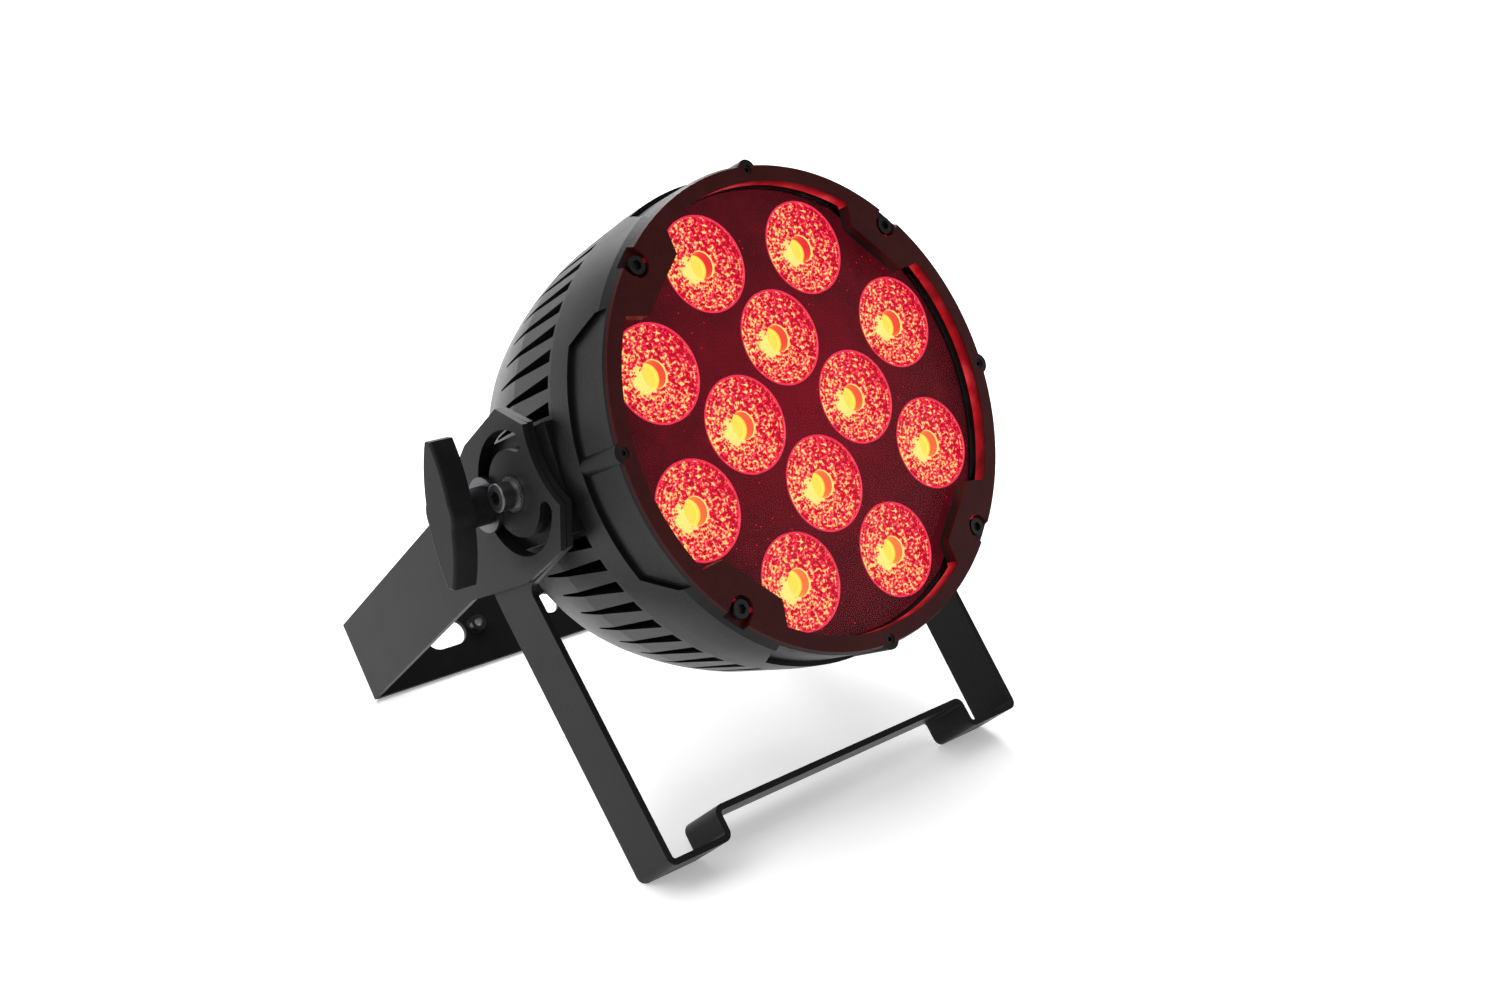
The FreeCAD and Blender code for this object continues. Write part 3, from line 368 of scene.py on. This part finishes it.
def powder_coat(name, tone, peel, grain, roughness):
    """Black coat: peel and grain are bump strengths, tone its middle grey."""
    coat = Finish(name, grey(tone), roughness, Specular_IOR_Level=0.12)
    patches = coat.noise(9.0, 4.0)
    dust = coat.noise(55.0, 6.0, roughness=0.7)
    speckle = coat.noise(1700.0, 1.0)
    shade = patches * 0.35 + dust * 0.35 + speckle * 0.3
    coat.set("Base Color", coat.ramp(shade, [
        (0.3, grey(tone * 0.72)), (0.5, grey(tone)), (0.72, grey(tone * 1.5))]))
    drawn_out = coat.node("ShaderNodeMapping", {},
                          {"Vector": coat.place(), "Scale": SCRATCH_STRETCH})
    scratch = coat.noise(140.0, 3.0, vector=drawn_out)
    coat.set("Roughness", roughness - 0.08 + dust * 0.12 + scratch * 0.08)
    height = coat.noise(PEEL_SCALE, 2.0) * peel + coat.noise(GRAIN_SCALE, 1.0) * grain
    coat.set("Normal", coat.bump(height, 0.35, PEEL_DEPTH))
    return coat


bracket_coat = powder_coat("bracket_powder_coat", 0.0068, 0.7, 0.6, 0.38)
housing_coat = powder_coat("housing_powder_coat", 0.0042, 1.0, 0.8, 0.30)
panel_coat = powder_coat("panel_powder_coat", 0.009, 0.4, 0.5, 0.46)
wear(bracket_coat, ["rear_bracket", "front_bracket"])
wear(housing_coat, ["rear_housing", "front_housing"])
wear(panel_coat, ["rear_cover"])


# %% [markdown]
# ## The front rim
# The rim wears the same coat, but its face stands in the haze of the lit lenses, so its base
# colour there is a painted maroon reflection, and its inner wall gets a painted red glow for the
# light that washes it. Lamps behind the lenses could do this, with a lot of noise. A glow that
# follows the distance from the optical axis and the height on the wall is clean, and it stays
# right as the head tilts.

# %% The front rim
LIP_R = 0.107
RIM_R = 0.1142
FACE_Z = 0.072
GLASS_Z = 0.0654
FACE_FROM_Z = 0.0684
WALL_TO_Z = 0.0716
OVER = 0.0004
WALL_IN = 0.0016
DARK_GLOW = (0.02, 0.0, 0.001)

rim = powder_coat("rim_coat_with_painted_red_light", 0.005, 0.9, 0.7, 0.34)
rim_x, rim_y, rim_z = rim.parts(rim.head_place())
reach = length(rim_x, rim_y)
face_band = reach.below(RIM_R + 1.5 * OVER) * rim_z.above(FACE_FROM_Z)
dust = rim.noise(55.0, 6.0, roughness=0.7)
black = rim.ramp(dust, [(0.3, grey(0.005)), (0.7, grey(0.009))])
# Painted reflection: the maroon on the face stands for the lenses' red haze, not for a coat
# colour.
painted_maroon_reflection = rim.ramp(dust, [(0.3, (0.024, 0.002, 0.002)), (0.7, (0.036, 0.004, 0.004))])
rim.set("Base Color", rim.mix(face_band, black, painted_maroon_reflection))
# Painted glow: the inner wall's red stands for the lenses' light, brighter towards the glass.
inner_wall = reach.below(LIP_R + OVER) * reach.above(LIP_R - WALL_IN) * rim_z.below(WALL_TO_Z)
depth_share = (FACE_Z - rim_z) / (FACE_Z - GLASS_Z)
glow = rim.ramp(rim.noise(60.0, 4.0), [
    (0.32, (0.16, 0.001, 0.003)), (0.5, (0.62, 0.003, 0.012)), (0.66, (1.0, 0.05, 0.07))])
painted_wall_glow = rim.mix(depth_share, DARK_GLOW, glow)
rim.set("Emission Color", rim.mix(inner_wall, grey(0.0), painted_wall_glow))
rim.set("Emission Strength", 0.8)
wear(rim, ["front_bezel"])


# %% [markdown]
# ## The mask
# A smooth black plate round the lenses. The glass throws the lenses' light back on it, so
# it is red near the middle and darker towards the rim, with a few bright flecks. This is
# painted as a faint glow, for the same reason as on the rim.

# %% The mask
mask = Finish("mask_gloss", (0.008, 0.001, 0.001), 0.22, Specular_IOR_Level=0.06)
mask_x, mask_y = mask.parts(mask.head_place(), 2)
# One noise drives both the smudges in the gloss and the streaks of the painted reflection.
smudge_and_reflection_streaks = mask.noise(60.0, 5.0, roughness=0.65)
# Painted reflection of the lenses' red light: brightest near the middle, darker towards the rim.
painted_red_reflection = mask.ramp(smudge_and_reflection_streaks * 0.5 + length(mask_x, mask_y) * 4.0, [
    (0.25, (0.20, 0.004, 0.014)), (0.5, (0.12, 0.004, 0.010)), (0.75, (0.045, 0.003, 0.006))])
# Painted glints: a few bright flecks of reflected light.
painted_glints = mask.cells(260.0).below(0.09) * mask.noise(35.0).above(0.55)
mask.set("Emission Color", mask.mix(painted_glints, painted_red_reflection, (0.9, 0.02, 0.03)))
mask.set("Emission Strength", 0.85)
mask.set("Roughness", 0.16 + smudge_and_reflection_streaks * 0.14)
mask.set("Normal", mask.bump(mask.noise(900.0), 0.1, 0.0001))
wear(mask, ["mask_plate", "mask_screws"])


# %% [markdown]
# ## The front glass
# Toughened glass, clear straight on and more reflective at a glancing angle. A glass shader
# bends light twice and renders slowly. A mirror whose alpha follows the Fresnel curve lets
# the lenses through at once. The pane's back faces are left clear, or they would mirror too.

# %% The front glass
glass = Finish("front_glass_clear", grey(1.0), 0.03, Metallic=1.0)
shine = glass.node("ShaderNodeFresnel", {}, {"IOR": 1.3})
behind = glass.node("ShaderNodeNewGeometry", out="Backfacing")
smear = glass.noise(25.0, 4.0)
glass.set("Alpha", (shine * 0.22 + smear * 0.002) * (1.0 - behind))
wear(glass, ["front_glass"])


# %% [markdown]
# ## Small metal pieces
# Turned washers and studs carry fine tool marks, and black screws are blued and slightly
# oily. A ring pattern about each screw would need its centre, so a fine noise stands in for
# the marks: at this size the eye can't tell them apart.

# %% Small metal pieces
def turned_metal(name, colour, roughness, mark_scale):
    """Bare or blued metal with fine tool marks."""
    metal = Finish(name, colour, roughness, Metallic=1.0)
    marks = metal.noise(mark_scale, 2.0)
    metal.set("Roughness", roughness - 0.08 + marks * 0.2)
    metal.set("Base Color", metal.ramp(metal.noise(60.0, 4.0), [
        (0.3, scaled(colour, 0.8)), (0.7, colour)]))
    metal.set("Normal", metal.bump(marks, 0.12, 0.0001))
    return metal


steel = turned_metal("turned_stainless", (0.42, 0.42, 0.41), 0.28, 1500.0)
dark_zinc = turned_metal("black_zinc", (0.10, 0.10, 0.105), 0.32, 1200.0)
aluminium = turned_metal("machined_aluminium", (0.76, 0.77, 0.78), 0.36, 700.0)
brass = turned_metal("plated_brass", (0.83, 0.64, 0.30), 0.25, 1200.0)
blued = turned_metal("blued_screw", (0.035, 0.034, 0.035), 0.38, 1200.0)
wear(steel, ["pivot_washers", "inner_screws", "mask_standoffs", "board_standoffs"])
wear(dark_zinc, ["pivot_screws", "knob_stud_left", "knob_stud_right",
                 "knob_washer_left", "knob_washer_right", "crossbar_inserts"])
wear(aluminium, ["heat_spreader", "power_supply"])
wear(brass, ["socket_contacts"])
wear(blued, ["bezel_screws", "rim_screws", "rear_screws"])


# %% [markdown]
# ## Moulded pieces
# The knobs are glass-filled nylon with the grain of a spark-eroded mould, the seals are
# silicone, and the boards wear a smooth solder mask. They differ only in colour, gloss and
# grain, so one function makes them all, with Voronoi cells as the grain.

# %% Moulded pieces
def moulded(name, colour, roughness, grain_scale, grain, **settings):
    """Moulded plastic, rubber or lacquer with a fine grain."""
    plastic = Finish(name, colour, roughness, Specular_IOR_Level=0.14, **settings)
    mottle = plastic.noise(70.0, 4.0)
    plastic.set("Base Color", plastic.ramp(mottle, [
        (0.3, scaled(colour, 0.8)), (0.7, scaled(colour, 1.25))]))
    plastic.set("Roughness", roughness - 0.06 + mottle * 0.12)
    plastic.set("Normal", plastic.bump(plastic.cells(grain_scale), grain, 0.0002))
    return plastic


nylon = moulded("knob_nylon", grey(0.0045), 0.5, 1300.0, 0.35)
socket_plastic = moulded("socket_plastic", grey(0.010), 0.42, 1600.0, 0.2)
silicone = moulded("silicone_seal", grey(0.009), 0.6, 900.0, 0.1)
key_rubber = moulded("key_rubber", grey(0.04), 0.62, 1500.0, 0.25)
white_lacquer = moulded("board_white_mask", (0.78, 0.79, 0.76), 0.3, 1200.0, 0.05)
green_lacquer = moulded("board_green_mask", (0.03, 0.17, 0.06), 0.3, 1200.0, 0.08)
epoxy = moulded("component_epoxy", grey(0.035), 0.5, 1000.0, 0.15)
smoke = moulded("smoked_acrylic", (0.012, 0.014, 0.018), 0.12, 400.0, 0.02, Alpha=0.35)
emitter = moulded("emitter_silicone", (0.85, 0.72, 0.25), 0.25, 900.0, 0.1)
wear(nylon, ["knob_grip_left", "knob_grip_right", "vent_plug", "lens_holders"])
wear(socket_plastic, ["power_in", "data_in", "data_out", "power_out"])
wear(silicone, ["housing_seal", "glass_seal", "rear_cover_seal"])
wear(key_rubber, ["button_%d" % number for number in range(1, 5)])
wear(white_lacquer, ["led_board"])
wear(green_lacquer, ["driver_board", "display_board"])
wear(epoxy, ["driver_components", "button_switches"])
wear(smoke, ["display_window"])
wear(emitter, ["led_packages"])


# %% [markdown]
# ## Modelling by hand, in code
# New pieces are made with the operators of the 3D view. An operator acts on what is
# selected, so `pick` chooses faces or corners by a rule, as a box selection would.
# `set_in_head` moves a finished piece from the head's axes to its place in the frame. The
# move goes into the mesh, and the object stays at the origin like a CAD piece.

# %% Modelling by hand, in code
def edit_mode(on):
    bpy.ops.object.mode_set(mode="EDIT" if on else "OBJECT")


def pick(obj, kind, rule):
    """Select the faces (kind FACE) or corners (kind VERT) that satisfy rule."""
    bpy.ops.mesh.select_mode(type=kind)
    bpy.ops.mesh.select_all(action="DESELECT")
    mesh = bmesh.from_edit_mesh(obj.data)
    chosen = [item for item in (mesh.faces if kind == "FACE" else mesh.verts) if rule(item)]
    for item in chosen:
        item.select = True
    mesh.select_flush_mode()
    bmesh.update_edit_mesh(obj.data)
    return len(chosen)


def set_in_head(obj, body):
    """Move a piece drawn in the head's axes to its place, and let it ride on its body."""
    obj.data.transform(head_place @ obj.matrix_world)
    obj.matrix_world = Matrix.Identity(4)
    obj.data.update()
    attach(obj, body)


# %% [markdown]
# ## The section of a lens
# Each lens is a clear collimator of 46 mm. Light leaves the die at its narrow back, fills
# the cone and comes out through rings of small pebbles, which blur the colours. A deep bore
# runs down the middle and ends in a dome. All of it is round, so half a section says
# everything: from the dome's crown, up the bore, over the dished face and down the cone.

# %% The section of a lens
LENS_R = 0.023
BORE_R = 0.0065
BORE_DEEP = 0.010
DOME_H = 0.0030
DOME_SHARE = 0.96
DOME_STEPS = 4
FRONT_Z = 0.0604
RIM_W = 0.0009
RIM_BACK = 0.0028
CONE_STEP = 0.0016
CONE_TOP = 0.0034
PEBBLE_RINGS = 9
FACE_FIRST_R = BORE_R + 0.0004
FACE_LAST_R = LENS_R - RIM_W
FACE_DROP = 0.0006
FACE_DISH = 0.0009
LENS_BACK_Z = 0.036
LENS_BACK_R = 0.009


def lens_section():
    """Points of the half section, as distance from the axis and height."""
    points = []
    bore_floor = FRONT_Z - BORE_DEEP
    for step in range(DOME_STEPS + 1):
        turn = step / DOME_STEPS * math.pi / 2
        points.append((BORE_R * DOME_SHARE * math.sin(turn),
                       bore_floor + DOME_H * math.cos(turn)))
    points.append((BORE_R, bore_floor))
    points.append((BORE_R, bore_floor + BORE_DEEP * 0.5))
    for ring in range(PEBBLE_RINGS + 1):
        share = ring / PEBBLE_RINGS
        sag = FACE_DISH * (1 - share) ** 2
        points.append((FACE_FIRST_R + (FACE_LAST_R - FACE_FIRST_R) * share,
                       FRONT_Z - FACE_DROP - sag))
    points.append((LENS_R - RIM_W * 0.6, FRONT_Z - 0.0001))
    points.append((LENS_R, FRONT_Z - 0.0002))
    points.append((LENS_R, FRONT_Z - RIM_BACK))
    points.append((LENS_R - CONE_STEP, FRONT_Z - CONE_TOP))
    points.append((LENS_BACK_R, LENS_BACK_Z))
    points.append((0.0, LENS_BACK_Z))
    return points


print("lens section points", len(lens_section()))

# %% [markdown]
# ## Spinning the lens and raising its pebbles
# A single corner is extruded along the section, as one would click it out in side view,
# and the line is spun round the axis. The grid this leaves on the face gives the pebbles:
# each face is inset by itself, and inset once more while it is pushed out. A displacement
# would need a far finer mesh for the same edges.

# %% Spinning the lens and raising its pebbles
PEBBLES_ROUND = 46
PEBBLE_INSET = 0.00022
PEBBLE_PROUD = 0.00045
WELD = 0.00001
SMOOTH_BELOW = math.radians(50)


def on_face(face):
    """Whether a face lies in the pebbled rings."""
    middle = face.calc_center_median()
    low_z = FRONT_Z - FACE_DROP - FACE_DISH - 0.0002
    return (FACE_FIRST_R < math.hypot(middle.x, middle.y) < FACE_LAST_R
            and middle.z > low_z)


def model_lens():
    """Spin the section, then raise a pebble on every face of the front rings."""
    section = lens_section()
    bpy.ops.object.select_all(action="DESELECT")
    bpy.ops.mesh.primitive_plane_add(size=PEBBLE_INSET)
    lens = bpy.context.object
    edit_mode(True)
    bpy.ops.mesh.merge(type="CENTER")
    bpy.ops.transform.translate(value=(section[0][0], 0, section[0][1]))
    for low, high in zip(section, section[1:]):
        step = (high[0] - low[0], 0, high[1] - low[1])
        bpy.ops.mesh.extrude_vertices_move(TRANSFORM_OT_translate={"value": step})
    bpy.ops.mesh.select_all(action="SELECT")
    bpy.ops.mesh.spin(steps=PEBBLES_ROUND, angle=2 * math.pi, center=(0, 0, 0), axis=(0, 0, 1))
    bpy.ops.mesh.select_all(action="SELECT")
    bpy.ops.mesh.remove_doubles(threshold=WELD)
    bpy.ops.mesh.normals_make_consistent(inside=False)
    count = pick(lens, "FACE", on_face)
    bpy.ops.mesh.inset(thickness=PEBBLE_INSET, depth=0.0, use_individual=True)
    bpy.ops.mesh.inset(thickness=PEBBLE_INSET, depth=PEBBLE_PROUD, use_individual=True)
    edit_mode(False)
    bpy.ops.object.shade_smooth_by_angle(angle=SMOOTH_BELOW)
    print("lens pebbles", count, "faces", len(lens.data.polygons))
    return lens


# %% [markdown]
# ## The light in a lens
# The dies under a lens are red, amber and warm white, side by side, so its face breaks into
# a mosaic of yellow, orange and crimson pebbles, hotter towards its lower left, with a
# yellow spot beside the bore. The valleys between the pebbles are the brightest. The bore's
# wall is an even crimson or orange, and its dome is yellow. Real refraction of three dies
# would take very many samples, so the mosaic is a glow: `heat` adds up what makes a spot
# bright, and a ramp turns it into a colour. Each lens is drawn about its own axis.

# %% The light in a lens
HOT_SPOT = (-0.0074, -0.0024)
HOT_SPOT_R = 0.0078
MOSAIC_SCALE = 520.0
FLECK_SCALE = 540.0
DEEP_FROM = 0.0076
DEEP_OVER = 0.0010
DOME_EDGE_SHARE = 0.975
BORE_EDGE = 0.0002
CRIMSON_WALL = (0.80, 0.006, 0.035)
ORANGE_WALL = (1.0, 0.20, 0.06)
DOME_YELLOW = (1.0, 0.78, 0.10)
RING_PINK = (0.85, 0.03, 0.08)


def lens_light(name, centre, hue):
    """The glow of a lens whose axis stands at centre; hue makes its bore more orange."""
    light = Finish(name, (0.06, 0.003, 0.004), 0.1, Specular_IOR_Level=0.2)
    spot = light.node("ShaderNodeVectorMath", {"operation": "SUBTRACT"},
                      {0: light.head_place(), 1: (*centre, 0.0)})
    x, y, z = light.parts(spot)
    reach = length(x, y)
    inward = 1.0 - (reach - FACE_FIRST_R) / (FACE_LAST_R - FACE_FIRST_R)
    base = FRONT_Z - FACE_DROP - inward * inward * FACE_DISH
    height = (z - base) / PEBBLE_PROUD
    lean = (x * -0.8 + y * -0.4) / LENS_R
    fleck = light.noise(FLECK_SCALE, 2.5, vector=spot)
    pane = light.parts(light.cells(MOSAIC_SCALE, vector=spot, out="Color"), 1)[0]
    edge = light.cells(MOSAIC_SCALE, "DISTANCE_TO_EDGE", vector=spot)
    line = 1.0 - (edge * 9.0).share()
    hot = (1.0 - length(x - HOT_SPOT[0], y - HOT_SPOT[1]) / HOT_SPOT_R).share()
    heat = 0.465 + lean * 0.12 - height * 0.20 + (fleck - 0.5) * 1.9 + (pane - 0.5) * 0.30
    heat = heat + line * 0.12 + hot * 1.2
    pebbles = light.ramp(heat, [
        (0.16, (0.40, 0.001, 0.014)), (0.38, (0.86, 0.003, 0.045)), (0.53, (1.0, 0.06, 0.12)),
        (0.65, (1.0, 0.52, 0.14)), (0.85, (1.0, 0.85, 0.22))])
    wall = light.mix(hue, CRIMSON_WALL, ORANGE_WALL)
    deep_share = ((FRONT_Z - DEEP_FROM - z) / DEEP_OVER).share()
    dome = reach.below(BORE_R * DOME_EDGE_SHARE)
    bore = light.mix(deep_share.maths("MAXIMUM", dome), wall, DOME_YELLOW)
    lit = light.mix(reach.below(BORE_R + BORE_EDGE), pebbles, bore)
    lit = light.mix(reach.above(FACE_LAST_R), lit, RING_PINK)
    light.set("Emission Color", lit)
    light.set("Emission Strength", 1.0)
    return light


# %% [markdown]
# ## The twelve lenses
# Eight lenses stand in a ring and four in a smaller one. One is modelled and copied, each
# copy with its own mesh, and every copy is turned a little so that the pebbles of
# neighbours don't line up. Each takes the place of its plain CAD lens.

# %% The twelve lenses
OUTER_PITCH_R = 0.0814
INNER_PITCH_R = 0.0354
OUTER_COUNT = 8
INNER_COUNT = 4
OUTER_START = 112.5
INNER_START = 90.0
TURN_EACH = 0.7


def ring_centres(count, pitch_r, start):
    """Centres of a ring of lenses, clockwise from an angle in degrees."""
    angles = [math.radians(start - 360.0 / count * i) for i in range(count)]
    return [(pitch_r * math.cos(angle), pitch_r * math.sin(angle)) for angle in angles]


lens_centres = (ring_centres(OUTER_COUNT, OUTER_PITCH_R, OUTER_START)
                + ring_centres(INNER_COUNT, INNER_PITCH_R, INNER_START))
pattern_lens = model_lens()
for number, (x, y) in enumerate(lens_centres, 1):
    lens = pattern_lens.copy()
    lens.data = pattern_lens.data.copy()
    lens.name = "lens_face_%02d" % number
    bpy.context.scene.collection.objects.link(lens)
    hue = 0.5 - 0.5 * y / OUTER_PITCH_R
    finish = lens_light("lens_light_%02d" % number, (x, y), hue)
    lens.data.materials.clear()
    lens.data.materials.append(finish.material)
    turn = Matrix.Rotation(number * TURN_EACH, 4, "Z")
    lens.matrix_world = Matrix.Translation((x, y, 0)) @ turn
    set_in_head(lens, "head")
    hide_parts("lens_%02d" % number)
bpy.data.objects.remove(pattern_lens)
print("lenses", len(lens_centres))


# %% [markdown]
# ## The digits' glow
# The display is a row of seven-segment digits with red dies, seen through smoked acrylic.

# %% The digits' glow
digit_light = Finish("digit_light", (0.5, 0.02, 0.01), 0.4)
digit_light.set("Emission Color", digit_light.ramp(
    digit_light.noise(900.0), [(0.3, (0.9, 0.05, 0.02)), (0.7, (1.0, 0.12, 0.05))]))
digit_light.set("Emission Strength", 1.6)

# %% [markdown]
# ## One segment
# A segment is a bar with pointed ends. A six-sided disc has such points already, so it is
# pulled out at both halves and then given a thickness by an extrusion.

# %% One segment
SEGMENT_LONG = 0.0042
SEGMENT_WIDE = 0.0011
SEGMENT_THICK = 0.0003


def segment(place, degrees):
    """One pointed bar, flat in the head's x and y."""
    bpy.ops.object.select_all(action="DESELECT")
    bpy.ops.mesh.primitive_circle_add(vertices=6, radius=SEGMENT_WIDE / 2, fill_type="NGON")
    bar = bpy.context.object
    edit_mode(True)
    for side in (1, -1):
        pick(bar, "VERT", lambda corner: corner.co.y * side > 0)
        bpy.ops.transform.translate(value=(0, side * (SEGMENT_LONG - SEGMENT_WIDE) / 2, 0))
    bpy.ops.mesh.select_all(action="SELECT")
    bpy.ops.mesh.extrude_region_move(TRANSFORM_OT_translate={"value": (0, 0, SEGMENT_THICK)})
    bpy.ops.mesh.select_all(action="SELECT")
    bpy.ops.mesh.normals_make_consistent(inside=False)
    edit_mode(False)
    turn = Matrix.Rotation(math.radians(90 - degrees), 4, "Z")
    bar.matrix_world = Matrix.Translation(place) @ turn
    return bar


# %% [markdown]
# ## The rear display
# The display shows the start address 001, the plainest reading such a light has. A text
# object would give a typeset number, while bars at seven places look like the real thing.
# The display is read from behind, so its left is the head's +x.

# %% The rear display
START_ADDRESS = "001"
DIGIT_PITCH = 0.0092
DIGIT_HALF = 0.0026
WINDOW_Y = 0.038
DIGIT_Z = -0.0754
SEGMENTS = {"0": "abcdef", "1": "bc"}
SEGMENT_PLACES = {
    "a": (0, 2, 0), "b": (1, 1, 90), "c": (1, -1, 90),
    "d": (0, -2, 0), "e": (-1, -1, 90), "f": (-1, 1, 90)}

bars = []
for column, digit in enumerate(START_ADDRESS):
    middle = (1 - column) * DIGIT_PITCH
    for name in SEGMENTS[digit]:
        across, up, degrees = SEGMENT_PLACES[name]
        place = (middle - across * DIGIT_HALF, WINDOW_Y + up * DIGIT_HALF, DIGIT_Z)
        bars.append(segment(place, degrees))
bpy.context.view_layer.update()
bpy.ops.object.select_all(action="DESELECT")
for bar in bars:
    bar.select_set(True)
bpy.context.view_layer.objects.active = bars[0]
bpy.ops.object.join()
digits = bpy.context.object
digits.name = "display_digits"
digits.data.materials.append(digit_light.material)
set_in_head(digits, "head")
print("display digits", len(digits.data.polygons), "faces")
